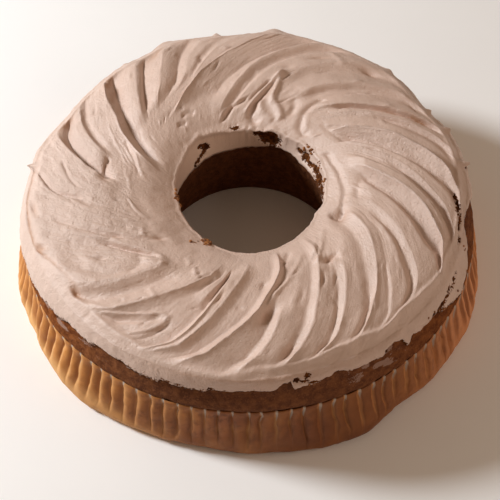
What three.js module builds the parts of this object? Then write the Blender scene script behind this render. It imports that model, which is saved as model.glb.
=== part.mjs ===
// Coffee ring cake: a sponge ring baked in a pleated paper case, its top spread with coffee icing
// that a palette knife has drawn into a swirl of ridges.
// Millimetres, +Z up. The origin is on the table, in the middle of the hole.
// Azimuths are in degrees from +X towards +Y, and the front of the cake faces -Y.
import * as THREE from 'three';
import { mergeVertices } from 'three/addons/utils/BufferGeometryUtils.js';

// Paper case
const RIM_RADIUS = 95; // over the pleats, at the top edge
const CASE_HEIGHT = 28;
const CASE_HOLE_RADIUS = 41.3; // hole in the paper's flat base
const FLARE = 4; // how far the soft wall has spread at its foot, past the rim
const FLARE_HEIGHT = 5;
const FOOT_CURL = 4; // from the widest place in to the flat base
const FOOT_WAVE = 0.8; // crumpling of the foot, either way
const SPREAD = 3; // how much further the foot has slid out at the front right
const SPREAD_AT = 298;
const SPREAD_WIDTH = 16;
const PAPER = 0.45; // thickness
const PLEATS = 104;
const PLEAT_DEPTH = 1.4; // groove between two pleats
const GAP = 0.35; // air between the paper, the sponge and the icing

// Sponge ring
const HOLE_RADIUS_TOP = 35;
const HOLE_RADIUS_BASE = 40.5; // the baking tube tapers upwards
const SPONGE_TOP = 46.5; // crown of the baked top, under the icing
const SPONGE_SIDE = RIM_RADIUS - PLEAT_DEPTH - PAPER - GAP;
const SPONGE_FLARE = 0.6 * FLARE; // the crumb follows the case part of the way
const SIDE_LEAN = 2; // how far the bare side leans in above the case
const TOP_ROUND = 6; // rounding of the baked top into the side
const TOP_SAG = 1.4; // fall of the baked top at that rounding
const HOLE_ROUND = 4; // rounding of the baked top into the hole
const HOLE_DROP = 7;
const SPONGE_COLUMNS = 60;

// The ring isn't quite round: it is a little narrow at the back left.
const NARROW_AT = 138;
const NARROW_WIDTH = 28;
const NARROW_SHARE = 0.025;

// Coffee icing
const LIP_RADIUS = 32; // the icing's edge in the hole
const LIP_HEIGHT = 47;
const LIP_DEPTH = 8.5; // how far the icing reaches down into the hole
const CROWN_RADIUS = 62;
const CROWN_HEIGHT = 54;
const SHOULDER_RADIUS = 91; // where the swirled top turns down to the side
const SHOULDER_HEIGHT = 48.5;
const SKIRT_HEIGHT = 40.5; // lower edge of the icing on the side
const SKIRT_WAVE = 0.8;
const SKIRT_PROUD = 0.2; // how far the skirt's edge stands out from the sponge
const SIDE_BULGE = 1.2; // how far the icing's side swells past the shoulder
const SIDE_DROP = 4;
const LIP_TUCK = 2.2; // how far the lip curls back under itself
const TOP_ROWS = 10; // rings of the mesh from the shoulder to the lip, closest at the shoulder

// Knife strokes: each leaves one ridge, and these are the azimuths where the ridges meet the shoulder.
const RIDGE_AZIMUTHS = [
  2, 12, 22, 32, 43, 54, 66, 78, 90, 99, 107, 119, 132, 150, 162, 173,
  184, 196, 208, 221, 234, 246, 257, 269, 279, 288, 300, 313, 324, 338, 350,
];
const RIDGE_HEIGHT = 3.2; // from the bottom of a stroke to the ridge beside it
const SCOOP_SHARE = 0.7; // part of a stroke that falls gently, before the steep face
const SWEEP = 52; // turn of a stroke from the shoulder in to the lip
const SWEEP_VARIATION = 7;
const STRAIGHT_AT = 240; // azimuth where the knife went most nearly straight in
const STRAIGHT_WIDTH = 38;
const STRAIGHT_LOSS = 30;
const SMOOTHED_AT = 192; // azimuth where the knife smoothed the ridges nearly away
const SMOOTHED_WIDTH = 22;
const SMOOTHED_SHARE = 0.6;

// Columns of the icing's mesh within a stroke, as shares of it: the first lies on the ridge.
const STROKE_COLUMNS = [0, 0.16, 0.42, SCOOP_SHARE, 0.87];
// Columns of the case's mesh within a pleat: a groove and the two edges of the flat face.
const PLEAT_COLUMNS = [0, 0.2, 0.8];

const { clamp, smoothstep, lerp, degToRad, radToDeg, euclideanModulo } = THREE.MathUtils;
const FULL_TURN = 2 * Math.PI;

const finish = (color, roughness) => new THREE.MeshStandardMaterial({ color, roughness, metalness: 0 });

// A bell curve over azimuths in degrees, the same at every full turn.
function near(azimuth, middle, width) {
  const away = euclideanModulo(azimuth - middle + 180, 360) - 180;
  return Math.exp(-((away / width) ** 2));
}

// Slow unevenness of hand-made edges, between -1 and 1, over azimuths in radians.
function wander(azimuth, phase) {
  return 0.5 * Math.sin(3 * azimuth + phase) + 0.3 * Math.sin(7 * azimuth + 2.3 * phase)
    + 0.2 * Math.sin(16 * azimuth + 4.1 * phase);
}

// A closed ring from a closed profile of [radius, height] points. place() says where the profile's
// point goes in each column: { azimuth in radians, radius, height }.
function shapedRing(name, profile, columns, place, material) {
  const loop = [...profile, profile[0]].map(([radius, height]) => new THREE.Vector2(radius, height));
  const geometry = new THREE.LatheGeometry(loop, columns);
  const position = geometry.getAttribute('position');
  for (let i = 0; i < position.count; i++) {
    const column = Math.floor(i / loop.length) % columns;
    const row = (i % loop.length) % profile.length;
    const { azimuth, radius, height } = place(column, row, ...profile[row]);
    const narrow = NARROW_SHARE * near(radToDeg(azimuth), NARROW_AT, NARROW_WIDTH);
    const reach = radius * (1 - narrow);
    position.setXYZ(i, reach * Math.cos(azimuth), reach * Math.sin(azimuth), height);
  }
  geometry.deleteAttribute('normal');
  geometry.deleteAttribute('uv');
  const closed = mergeVertices(geometry);
  closed.computeVertexNormals();
  const ring = new THREE.Mesh(closed, material);
  ring.name = name;
  return ring;
}

// Outline of the baked top, from the side over to the hole, moved out by a clearance.
function bakedTop(clear) {
  return [
    [SPONGE_SIDE - SIDE_LEAN + clear, SKIRT_HEIGHT + SIDE_LEAN],
    [SPONGE_SIDE - TOP_ROUND + clear, SPONGE_TOP - TOP_SAG + clear],
    [lerp(CROWN_RADIUS, SPONGE_SIDE, 0.4), SPONGE_TOP - 0.2 * TOP_SAG + clear],
    [lerp(CROWN_RADIUS, HOLE_RADIUS_TOP, 0.4), SPONGE_TOP + clear],
    [HOLE_RADIUS_TOP + HOLE_ROUND - clear, SPONGE_TOP - 0.3 * HOLE_DROP + clear],
    [HOLE_RADIUS_TOP - clear, SPONGE_TOP - HOLE_DROP + clear],
  ];
}

// Sponge: the side stands against the paper, the top is a low dome and the hole widens downwards.
function spongeRing() {
  const base = PAPER + GAP;
  const profile = [
    [HOLE_RADIUS_BASE, base],
    [SPONGE_SIDE - FOOT_CURL, base],
    [SPONGE_SIDE + SPONGE_FLARE, FLARE_HEIGHT + base],
    [SPONGE_SIDE, CASE_HEIGHT],
    [SPONGE_SIDE - 0.25 * SIDE_LEAN, lerp(CASE_HEIGHT, SKIRT_HEIGHT, 0.7)],
    ...bakedTop(0),
    [lerp(HOLE_RADIUS_TOP, HOLE_RADIUS_BASE, 0.45), SPONGE_TOP / 2],
  ];
  const place = (column, row, radius, height) => (
    { azimuth: (column / SPONGE_COLUMNS) * FULL_TURN, radius, height }
  );
  return shapedRing('sponge_ring', profile, SPONGE_COLUMNS, place, finish(0x7a4420, 0.9));
}

// Paper case: a thin sheet, flat under the cake and pleated up its side. The grooves run from the rim
// down the spread wall and die out where the foot curls under.
function paperCase() {
  const belly = RIM_RADIUS + FLARE;
  const foot = belly - FOOT_CURL;
  const profile = [
    [CASE_HOLE_RADIUS, 0],
    [foot, 0],
    [belly, FLARE_HEIGHT],
    [lerp(RIM_RADIUS, belly, 0.75), CASE_HEIGHT / 2],
    [RIM_RADIUS, CASE_HEIGHT],
    [RIM_RADIUS - PAPER, CASE_HEIGHT],
    [belly - PAPER, FLARE_HEIGHT],
    [foot - PAPER, PAPER],
    [CASE_HOLE_RADIUS, PAPER],
  ];
  const columns = PLEATS * PLEAT_COLUMNS.length;
  const place = (column, row, radius, height) => {
    const share = PLEAT_COLUMNS[column % PLEAT_COLUMNS.length];
    const pleat = Math.floor(column / PLEAT_COLUMNS.length) + share;
    const azimuth = (pleat / PLEATS) * FULL_TURN;
    const groove = share === 0 ? PLEAT_DEPTH * smoothstep(height, 0, FLARE_HEIGHT) : 0;
    const wall = smoothstep(radius, CASE_HOLE_RADIUS, foot - PAPER);
    const low = 1 - smoothstep(height, FLARE_HEIGHT, CASE_HEIGHT);
    const spread = SPREAD * near(radToDeg(azimuth), SPREAD_AT, SPREAD_WIDTH);
    const crumple = (FOOT_WAVE * wander(azimuth, 5) + spread) * wall * low;
    return { azimuth, radius: radius - groove + crumple, height };
  };
  return shapedRing('paper_case', profile, columns, place, finish(0xb98a55, 0.7));
}

// Height of the icing's top before the knife, from the lip over the crown to the shoulder.
function domeHeight(radius) {
  const outer = radius > CROWN_RADIUS;
  const edgeRadius = outer ? SHOULDER_RADIUS : LIP_RADIUS;
  const edgeHeight = outer ? SHOULDER_HEIGHT : LIP_HEIGHT;
  const share = (radius - CROWN_RADIUS) / (edgeRadius - CROWN_RADIUS);
  return lerp(CROWN_HEIGHT, edgeHeight, share ** 2);
}

// Height of the icing across one stroke, from the ridge, down the scoop and up the steep face.
function scoop(share) {
  const rise = share < SCOOP_SHARE
    ? 1 - share / SCOOP_SHARE
    : (share - SCOOP_SHARE) / (1 - SCOOP_SHARE);
  return rise ** 1.5;
}

// Turn in degrees, from the shoulder to the lip, of the stroke that starts at this azimuth.
function strokeSweep(start) {
  return SWEEP + SWEEP_VARIATION * Math.cos(degToRad(start))
    - STRAIGHT_LOSS * near(start, STRAIGHT_AT, STRAIGHT_WIDTH);
}

// Icing: a thick ring over the sponge that turns down over both edges. The mesh's columns follow
// the knife, so that each ridge lies along one of them.
function coffeeIcing() {
  const under = bakedTop(GAP).reverse();
  const side = [
    [SPONGE_SIDE + SKIRT_PROUD, SKIRT_HEIGHT],
    [SHOULDER_RADIUS + SIDE_BULGE, SHOULDER_HEIGHT - SIDE_DROP],
  ];
  const top = [];
  for (let i = 0; i <= TOP_ROWS; i++) {
    const radius = lerp(SHOULDER_RADIUS, LIP_RADIUS + 1, (i / TOP_ROWS) ** 1.3);
    top.push([radius, domeHeight(radius)]);
  }
  const lip = [
    [LIP_RADIUS, LIP_HEIGHT - 0.6 * LIP_DEPTH],
    [LIP_RADIUS + LIP_TUCK, LIP_HEIGHT - LIP_DEPTH],
  ];
  const skirtRow = under.length;
  const firstTopRow = skirtRow + side.length;
  const columns = RIDGE_AZIMUTHS.length * STROKE_COLUMNS.length;

  const place = (column, row, radius, height) => {
    const stroke = Math.floor(column / STROKE_COLUMNS.length);
    const share = STROKE_COLUMNS[column % STROKE_COLUMNS.length];
    const ridge = RIDGE_AZIMUTHS[stroke];
    const nextRidge = RIDGE_AZIMUTHS[stroke + 1] ?? RIDGE_AZIMUTHS[0] + 360;
    const start = lerp(ridge, nextRidge, share);
    const inward = (SHOULDER_RADIUS - radius) / (SHOULDER_RADIUS - LIP_RADIUS);
    const azimuth = degToRad(start + strokeSweep(start) * clamp(inward, 0, 1));

    let lift = 0;
    if (row === skirtRow) lift = SKIRT_WAVE * wander(azimuth, 2);
    if (row >= firstTopRow && row < firstTopRow + top.length) {
      const fade = smoothstep(radius, LIP_RADIUS + 2, CROWN_RADIUS - 12)
        * (1 - 0.7 * smoothstep(radius, SHOULDER_RADIUS - 5, SHOULDER_RADIUS));
      const smoothed = SMOOTHED_SHARE * near(start, SMOOTHED_AT, SMOOTHED_WIDTH);
      lift = RIDGE_HEIGHT * (1 - smoothed) * scoop(share) * fade;
    }
    return { azimuth, radius, height: height + lift };
  };
  const profile = [...under, ...side, ...top, ...lip];
  return shapedRing('coffee_icing', profile, columns, place, finish(0xcdb3a2, 0.55));
}

const cake = new THREE.Group();
cake.add(spongeRing(), paperCase(), coffeeIcing());

export default cake;
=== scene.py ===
# %% [markdown]
# # Coffee ring cake
# A sponge ring stands in its pleated paper case. Its top is spread with whipped coffee icing that a
# palette knife has drawn into a swirl of ridges. Every shape here is a grid of points placed by
# formulas, because ridges, pleats and crust are easier to steer as heights over a grid than by hand.

# %% Load the frame
import math
import bpy
import numpy as np
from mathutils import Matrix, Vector


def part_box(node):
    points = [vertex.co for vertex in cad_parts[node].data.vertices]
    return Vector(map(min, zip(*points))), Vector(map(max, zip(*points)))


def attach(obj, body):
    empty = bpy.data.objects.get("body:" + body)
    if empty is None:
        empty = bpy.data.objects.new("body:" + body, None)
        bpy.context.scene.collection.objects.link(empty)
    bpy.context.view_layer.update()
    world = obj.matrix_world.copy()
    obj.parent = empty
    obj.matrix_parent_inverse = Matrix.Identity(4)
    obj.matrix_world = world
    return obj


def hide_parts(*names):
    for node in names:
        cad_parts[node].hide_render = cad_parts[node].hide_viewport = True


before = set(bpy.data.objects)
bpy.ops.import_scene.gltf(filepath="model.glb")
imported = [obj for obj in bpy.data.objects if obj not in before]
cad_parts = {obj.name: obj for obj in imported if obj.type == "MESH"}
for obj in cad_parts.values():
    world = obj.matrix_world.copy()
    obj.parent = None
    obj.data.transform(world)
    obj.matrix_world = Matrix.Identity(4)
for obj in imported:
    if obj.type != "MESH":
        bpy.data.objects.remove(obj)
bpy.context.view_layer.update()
MM = 0.001
scene = bpy.context.scene

# %% [markdown]
# ## Camera
# The photograph looks down at about 52 degrees through a long lens, so the far side of the cake is
# hardly smaller than the near side. The lens shift puts the cake a little above the middle.

# %% Place the camera
AIM = Vector((0, 0, 28 * MM))
CAMERA_ELEVATION = math.radians(52.2)
CAMERA_DISTANCE = 760 * MM
LENS = 128.9
SENSOR_WIDTH = 36
LENS_SHIFT = (0.003, -0.058)
camera_data = bpy.data.cameras.new("camera")
camera_data.lens = LENS
camera_data.sensor_width = SENSOR_WIDTH
camera_data.shift_x, camera_data.shift_y = LENS_SHIFT
camera = bpy.data.objects.new("camera", camera_data)
scene.collection.objects.link(camera)
back_off = Vector((0, -math.cos(CAMERA_ELEVATION), math.sin(CAMERA_ELEVATION)))
camera.location = AIM + CAMERA_DISTANCE * back_off
camera.rotation_euler = (-back_off).to_track_quat("-Z", "Y").to_euler()
scene.camera = camera
print("camera", [round(c, 3) for c in camera.location])

# %% [markdown]
# ## Light
# A wide soft light stands to the back left, so left faces are bright and the front of the case lies
# in shade. A second, weaker light and a weak warm sky fill the shade. The Standard view keeps the
# pale colours as they are.

# %% Light the scene
LIGHTS = [
    # name, azimuth and elevation in degrees, distance, width, power, colour
    ("key", 168, 34, 0.95, 0.22, 10, (0.96, 1, 1.03)),
    ("fill", -18, 28, 1.2, 0.9, 2.9, (1, 0.81, 0.69))]
SKY_COLOUR = (1.0, 0.73, 0.5, 1)
SKY_STRENGTH = 0.23
for name, azimuth, elevation, distance, width, power, colour in LIGHTS:
    data = bpy.data.lights.new(name, "AREA")
    data.shape = "DISK"
    data.size = width
    data.energy = power
    data.color = colour
    light = bpy.data.objects.new(name, data)
    scene.collection.objects.link(light)
    turned = math.radians(azimuth)
    flat = math.cos(math.radians(elevation))
    way = Vector((flat * math.cos(turned), flat * math.sin(turned), math.sin(math.radians(elevation))))
    light.location = AIM + distance * way
    light.rotation_euler = (-way).to_track_quat("-Z", "Y").to_euler()
    print(name, "light", power, "W")
world = bpy.data.worlds.new("studio")
world.use_nodes = True
sky = world.node_tree.nodes["Background"]
sky.inputs["Color"].default_value = SKY_COLOUR
sky.inputs["Strength"].default_value = SKY_STRENGTH
scene.world = world
scene.view_settings.view_transform = "Standard"

# %% [markdown]
# ## Helpers for shapes
# hump() is a soft bump over a distance and oval() one over two distances. near() is a hump round one
# azimuth, and bumps() adds up a list of those. ease() is a soft step, mix() blends two values, bend()
# is a curve with three control values, and round_cake() reads a table of values round the cake.

# %% Bumps, steps and curves
def turn_from(azimuth, middle):
    return (azimuth - middle + 180) % 360 - 180


def hump(distance, width):
    return np.exp(-((distance / width) ** 2))


def oval(along, across):
    return np.exp(-(along ** 2) - across ** 2)


def near(azimuth, middle, width):
    return hump(turn_from(azimuth, middle), width)


def bumps(azimuth, places):
    return sum(rise * near(azimuth, at, wide) for at, wide, rise in places)


def ease(value, low, high):
    part = np.clip((value - low) / (high - low), 0, 1)
    return part * part * (3 - 2 * part)


def mix(first, second, share):
    return first + (second - first) * share


def bend(first, middle, last, t):
    return (1 - t) ** 2 * first + 2 * t * (1 - t) * middle + t * t * last


def round_cake(azimuth, table, column=1):
    return np.interp(azimuth, table[:, 0], table[:, column], period=360)


print("a hump of width 1 at 0, 1 and 2:", [round(hump(away, 1), 2) for away in (0, 1, 2)])

# %% [markdown]
# wander() is a slow wave round the cake. lumps() is smooth random noise in space, made from a small
# seeded block of random numbers, so that every run gives the same cake. rough_lumps() adds finer
# layers to it. Their last two values are the size of the lumps in millimetres and the seed.

# %% Noise
LATTICE = 32
WAVES = ((0.5, 3, 1.0), (0.3, 7, 2.3), (0.2, 16, 4.1))
LAYERS = ((1.0, 1.0), (0.5, 2.1), (0.25, 4.3))


def wander(azimuth, phase):
    angle = np.radians(azimuth)
    return sum(high * np.sin(count * angle + shift * phase) for high, count, shift in WAVES)


def lumps(points, size, seed):
    block = np.random.default_rng(seed).uniform(-1, 1, (LATTICE, LATTICE, LATTICE))
    cell = points / size
    corner = np.floor(cell).astype(int)
    part = cell - corner
    part = part * part * (3 - 2 * part)
    total = np.zeros(points.shape[:-1])
    for step in np.ndindex(2, 2, 2):
        at = (corner + step) % LATTICE
        share = np.abs(1 - np.array(step) - part)
        total += share[..., 0] * share[..., 1] * share[..., 2] * block[at[..., 0], at[..., 1], at[..., 2]]
    return total


def rough_lumps(points, size, seed):
    layers = enumerate(LAYERS)
    return sum(strong * lumps(points, size / fine, seed + number) for number, (strong, fine) in layers)


print("noise at three points:", lumps(np.eye(3), 2.0, 1).round(2))

# %% [markdown]
# plan() turns radius, azimuth and height into points, and spread_profile() does so for a profile that
# goes round the cake. ring_piece() makes a closed mesh from a grid of points in columns, and stores
# values for the materials on its points.

# %% Grids to meshes
def plan(radius, azimuth, height):
    angle = np.radians(azimuth)
    return np.stack(np.broadcast_arrays(radius * np.cos(angle), radius * np.sin(angle), height), axis=-1)


def spread_profile(profile, azimuth):
    radius = np.broadcast_to(profile[:, 0], (len(azimuth), len(profile)))
    height = np.broadcast_to(profile[:, 1], radius.shape)
    return radius, height, plan(radius, azimuth, height)


def ring_piece(name, grid, fields):
    columns, rows = grid.shape[:2]
    index = np.arange(columns * rows).reshape(columns, rows)
    beside = np.roll(index, -1, axis=0)
    above = np.roll(index, -1, axis=1)
    corner = np.roll(beside, -1, axis=1)
    faces = np.stack([index, beside, corner, above], axis=-1).reshape(-1, 4)
    mesh = bpy.data.meshes.new(name)
    mesh.from_pydata((grid.reshape(-1, 3) * MM).tolist(), [], faces.tolist())
    mesh.shade_smooth()
    for title, values in fields.items():
        kind, part = ("FLOAT_VECTOR", "vector") if values.ndim == 3 else ("FLOAT", "value")
        mesh.attributes.new(title, kind, "POINT").data.foreach_set(part, values.ravel())
    piece = bpy.data.objects.new(name, mesh)
    scene.collection.objects.link(piece)
    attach(piece, "root")
    print(name, 2 * len(faces), "triangles")
    return piece


# %% [markdown]
# ## Sizes
# The heights come from the solids of the frame, so the visual model keeps their form. The radii of
# the swirl are the ones the icing was designed with. The cake isn't quite round: it is a little
# flattened at the back left.

# %% Sizes in millimetres
CASE_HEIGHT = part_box("paper_case")[1][2] / MM
SPONGE_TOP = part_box("sponge_ring")[1][2] / MM
LIP_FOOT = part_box("coffee_icing")[0][2] / MM
RIM_RADIUS = 95
SPONGE_SIDE = 92.8
HOLE_RADIUS_TOP = 35
HOLE_RADIUS_BASE = 40.5
LIP_RADIUS = 32
LIP_HEIGHT = 47
CROWN_RADIUS = 62
CROWN_HEIGHT = 54
SHOULDER_RADIUS = 91
SHOULDER_HEIGHT = 48.5
SKIRT_HEIGHT = 40.5
SIDE_CENTRE = 86.5
SIDE_LEVEL = 42.3
SIDE_WIDE = 7.4
SIDE_TALL = 7.0
FLATTENED = [(138, 28, 0.025)]


def narrowed(azimuth):
    return 1 - bumps(azimuth, FLATTENED)


print("case", round(CASE_HEIGHT, 1), "sponge", round(SPONGE_TOP, 1), "icing from", round(LIP_FOOT, 1))

# %% [markdown]
# ## The icing's swirl
# A palette knife drew strokes from the rim to the hole while the cake turned. Each stroke left a
# crest and a hollow, and no two are alike, so they are listed in order round the cake. Height is in
# millimetres over the plain dome, crests above zero and hollows below. The four azimuths say where
# the line lies at four radii, on top of the common turn of the swirl. Reach is the radius where the
# line fades out. Bend shapes the slope up to the next line: 0 is a soft S, below 1 starts steeply,
# above 1 ends steeply.

# %% Lines of the strokes
LINE_RADII = (87, 78, 66, 50)
LINES = np.array([
    # height, azimuth at each radius, reach, bend
    (-0.2, 195, 194, 192.5, 188, 52, 0), (1, 212.8, 213.8, 214.5, 214, 52, 0),
    (-1, 218.5, 220, 222.2, 224, 56, 0), (1, 224.6, 227.7, 231.5, 240.5, 46, 0.6),
    (-0.7, 228.2, 232, 237, 243.4, 47, 0), (-0.7, 236.9, 238.4, 240, 244.4, 60, 1),
    (-1.1, 240.2, 242, 243.4, 245.2, 62, 1), (-1.5, 244.2, 245.5, 245.8, 246, 47, 0.7),
    (1, 246.2, 247.3, 247.6, 247.3, 48, 1), (0.85, 246.9, 248.2, 248.6, 248.4, 46, 1),
    (1.1, 248.2, 249.4, 250.3, 251.4, 43, 0.6), (-0.6, 251.2, 252.6, 253.6, 255.2, 46, 1),
    (-0.8, 252.9, 255.2, 257.9, 260.2, 45, 1.3), (1.4, 256.4, 258.2, 260.7, 262.8, 40, 1),
    (0.5, 258.6, 260.6, 262.6, 264.2, 55, 1), (-1.3, 265.6, 266, 264.4, 265.2, 63, 1.2),
    (1.2, 268.9, 268.8, 266.8, 267, 66, 0.9), (0.7, 271.6, 271.2, 269.6, 269.6, 60, 1.3),
    (-0.6, 275.6, 275.4, 273.8, 273.2, 46, 1.4), (1.4, 278.6, 278.3, 276.6, 276.1, 40, 1),
    (0.8, 281, 280.6, 278.8, 277.9, 48, 1), (0.2, 283.8, 283.2, 281, 279.4, 55, 1.6),
    (-0.9, 286.2, 285.2, 283.2, 280.8, 56, 1), (1.1, 287.8, 287.2, 286.1, 284.2, 50, 0.9),
    (0.6, 290, 289.6, 288.6, 286.8, 46, 1), (0.5, 293.6, 293.4, 290, 287.6, 45, 0),
    (-1.1, 295.8, 296, 294.2, 292.4, 42, 1.1), (1.2, 297, 297.2, 298.4, 298.8, 43, 0.9),
    (0.5, 299.4, 299.2, 300.4, 300.8, 45, 1.3), (-0.2, 304.4, 302.9, 302.4, 303.2, 68, 1),
    (0.4, 305.6, 304.2, 303.4, 304, 70, 0.6), (0.4, 311.4, 310.6, 307.2, 304.8, 56, 0),
    (-0.9, 314.6, 313.2, 309.8, 306.6, 53, 0), (0.5, 318.4, 317, 314.4, 311.2, 48, 1),
    (0.5, 329.4, 322.5, 319.6, 318.4, 47, 0), (-1.4, 331.6, 325.4, 323, 322.8, 47, 2.2),
    (1.6, 332.8, 331.8, 331, 328.2, 46, 0.8), (1.1, 336, 335, 334.8, 333, 46, 1),
    (0.7, 337.6, 336, 335.6, 335.8, 60, 0), (-0.7, 340, 339, 338.2, 338.6, 60, 0),
    (0.3, 344, 343.2, 342.6, 343, 50, 1), (0.4, 349.4, 347.2, 345.2, 344.8, 47, 0),
    (-1.2, 352.4, 350.4, 348.2, 347.4, 46, 1.5), (1.5, 357.3, 357.7, 357.9, 354.8, 47, 0.8),
    (0.1, 358.8, 359.2, 359.4, 357.6, 46, 1), (0, 364.6, 365, 363.6, 362.2, 66, 0),
    (-1, 368.4, 368.6, 367, 365.4, 66, 0), (0.4, 372, 371.2, 369.6, 368, 54, 1),
    (0.4, 374, 372.4, 370.6, 368.8, 54, 0), (-1.3, 377.2, 375.2, 373.2, 371.6, 55, 0),
    (0.7, 379.2, 377, 374.8, 373.2, 50, 0), (-0.8, 386, 386.2, 386, 384, 52, 0),
    (1, 390.8, 391, 390, 388, 54, 0), (-0.7, 400.2, 400.4, 400.4, 398, 57, 0),
    (0.7, 407, 407, 406.6, 404.4, 60, 0), (0.2, 416.5, 416.5, 416, 413, 50, 0),
    (-1.1, 419.5, 419.5, 419, 415.8, 42, 0), (0.7, 425.4, 425, 424.2, 421.8, 43, 0.8),
    (-0.9, 427.4, 427.2, 428.2, 430.2, 50, 0.9), (1.95, 438.6, 439.2, 441.2, 456, 53, 0.6),
    (0.6, 441, 441.6, 443.6, 458, 58, 1), (0.6, 449.2, 448, 447, 461.2, 64, 0),
    (-0.2, 453, 450.8, 448.8, 462.2, 66, 0), (0.6, 456.2, 453.8, 450.8, 463.2, 66, 0),
    (0.5, 459.6, 457, 452.8, 464.2, 62, 1.3), (-1.2, 464.6, 461.4, 456.4, 465.6, 62, 0.6),
    (1.4, 472, 469, 464.2, 468, 60, 1.4), (-1.3, 479.4, 476, 472.6, 471.2, 61, 0.6),
    (1, 482.4, 479.6, 476, 474.4, 58, 1.7), (-1.8, 491.4, 487.8, 484.4, 482.4, 43, 1),
    (1.5, 494.2, 493.2, 488.8, 489.2, 43, 1), (0.3, 501.4, 501, 499, 496, 60, 0),
    (-0.5, 503.4, 503.4, 502.4, 499, 64, 1.5), (0.8, 506.2, 506, 505, 502, 62, 1.8),
    (-2, 511.4, 514.6, 513.6, 510.8, 57, 1), (1.3, 517.9, 517.7, 515.6, 513.4, 56, 1),
    (-0.3, 532.2, 533, 532, 528, 66, 0), (0.4, 534.2, 535.4, 534.6, 531, 60, 0)])
STRONGER = [
    # azimuth, half width in degrees, how much deeper the strokes are there
    (128, 30, 0.35), (345, 26, 0.6), (228, 14, 0.25), (96, 20, -0.2), (312, 20, -0.15), (290, 14, -0.35)]
PLAIN_STRENGTH = 1.2
SHARP_FROM = 0.6
line_places = LINES[:, 1:5]
line_reach = LINES[:, 5]
line_bend = LINES[:, 6]
line_height = LINES[:, 0] * (PLAIN_STRENGTH + bumps(LINES[:, 3], STRONGER))
is_crest = (line_height > np.roll(line_height, 1)) & (line_height > np.roll(line_height, -1))
is_crest = is_crest & (LINES[:, 0] > SHARP_FROM)
print(len(LINES), "lines,", is_crest.sum(), "sharp crests")

# %% [markdown]
# Every column of the grid lies between two neighbouring lines, so crests and hollows are always
# clean lines of points. Wide gaps between two lines get more columns.

# %% Columns of the icing
COLUMN_WIDTH = 0.62
LEAST_COLUMNS = 5
next_places = np.vstack([line_places[1:], line_places[:1] + 360])
widest = (next_places - line_places).max(axis=1)
counts = np.maximum(LEAST_COLUMNS, np.round(widest / COLUMN_WIDTH)).astype(int)
line = np.repeat(np.arange(len(LINES)), counts)
following = (line + 1) % len(LINES)
share = np.concatenate([np.arange(count) / count for count in counts])
print(len(share), "columns")

# %% [markdown]
# The rows go up the smooth side band, over the shoulder, across the top to the hole and down the
# rounded lip. Then they return under the icing, so that the piece is closed.

# %% Rows of the icing
SIDE_ARC = (-14, 52)
SIDE_ROWS = 14
EDGE_INNER = 84
EDGE_ROWS = 14
LAST_TOP_RADIUS = 37
TOP_ROWS = 66
LIP_ROWS = 17
UNDER = np.array([
    (34.6, 40), (38.6, 44.7), (51.2, 46.8), (74.3, 46.6), (87.1, 45.4), (91.2, 42.8)])


def dome(radius):
    edge_radius = np.where(radius > CROWN_RADIUS, SHOULDER_RADIUS, LIP_RADIUS)
    edge_height = np.where(radius > CROWN_RADIUS, SHOULDER_HEIGHT, LIP_HEIGHT)
    return mix(CROWN_HEIGHT, edge_height, ((radius - CROWN_RADIUS) / (edge_radius - CROWN_RADIUS)) ** 2)


side_turn = np.radians(np.linspace(*SIDE_ARC, SIDE_ROWS, endpoint=False))
top_radius = np.concatenate([
    np.linspace(SHOULDER_RADIUS, EDGE_INNER, EDGE_ROWS, endpoint=False),
    np.linspace(EDGE_INNER, LAST_TOP_RADIUS, TOP_ROWS, endpoint=False)])
lip_t = np.linspace(0, 1, LIP_ROWS)
lip_radius = np.linspace(LAST_TOP_RADIUS, LIP_RADIUS + 2, LIP_ROWS)
row_radius = np.concatenate([
    SIDE_CENTRE + SIDE_WIDE * np.cos(side_turn), top_radius, lip_radius, UNDER[:, 0]])
row_height = np.concatenate([
    SIDE_LEVEL + SIDE_TALL * np.sin(side_turn), dome(top_radius), dome(lip_radius), UNDER[:, 1]])
TOP_FROM = SIDE_ROWS
LIP_FROM = TOP_FROM + len(top_radius)
UNDER_FROM = LIP_FROM + LIP_ROWS
rows = np.arange(len(row_radius))
on_side = (rows < TOP_FROM).astype(float)
on_top = ((rows >= TOP_FROM) & (rows < LIP_FROM)).astype(float)
shown = (rows < UNDER_FROM).astype(float)
radius = np.broadcast_to(row_radius, (len(share), len(rows)))
print(len(rows), "rows,", 2 * radius.size, "triangles")

# %% [markdown]
# Between the four radii a line is smoothed with positive weights only, so that neighbours never
# cross. The swirl turns less at the front, and one stroke at the back has a small kink.

# %% Turn of the columns
SMOOTHING = 6
SMOOTHING_STEPS = 13
SWEEP = 52
SWEEP_SWING = 7
LESS_SWEEP = [(240, 38, 30)]
KINK = [(92, 6, 3.0)]
KINK_RADIUS = 60
KINK_LENGTH = 6
weights = 0
for shift in np.linspace(-SMOOTHING, SMOOTHING, SMOOTHING_STEPS):
    hats = [np.interp(row_radius + shift, LINE_RADII[::-1], hat[::-1]) for hat in np.eye(len(LINE_RADII))]
    weights = weights + hump(shift, SMOOTHING / 2) * np.stack(hats)
weights = weights / weights.sum(axis=0)
start = mix((line_places @ weights)[line], (next_places @ weights)[line], share[:, None])
sweep = SWEEP + SWEEP_SWING * np.cos(np.radians(start)) - bumps(start, LESS_SWEEP)


def inward(radius):
    return np.clip((SHOULDER_RADIUS - radius) / (SHOULDER_RADIUS - LIP_RADIUS), 0, 1)


azimuth = start + sweep * inward(radius) - bumps(start, KINK) * hump(radius - KINK_RADIUS, KINK_LENGTH)
print("turn from rim to hole:", round(sweep.min()), "to", round(sweep.max()), "degrees")

# %% [markdown]
# At the front the strokes hook where the knife came down at the rim. The rim line is the radius where
# the strokes begin, and it wanders in and out round the cake.

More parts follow.
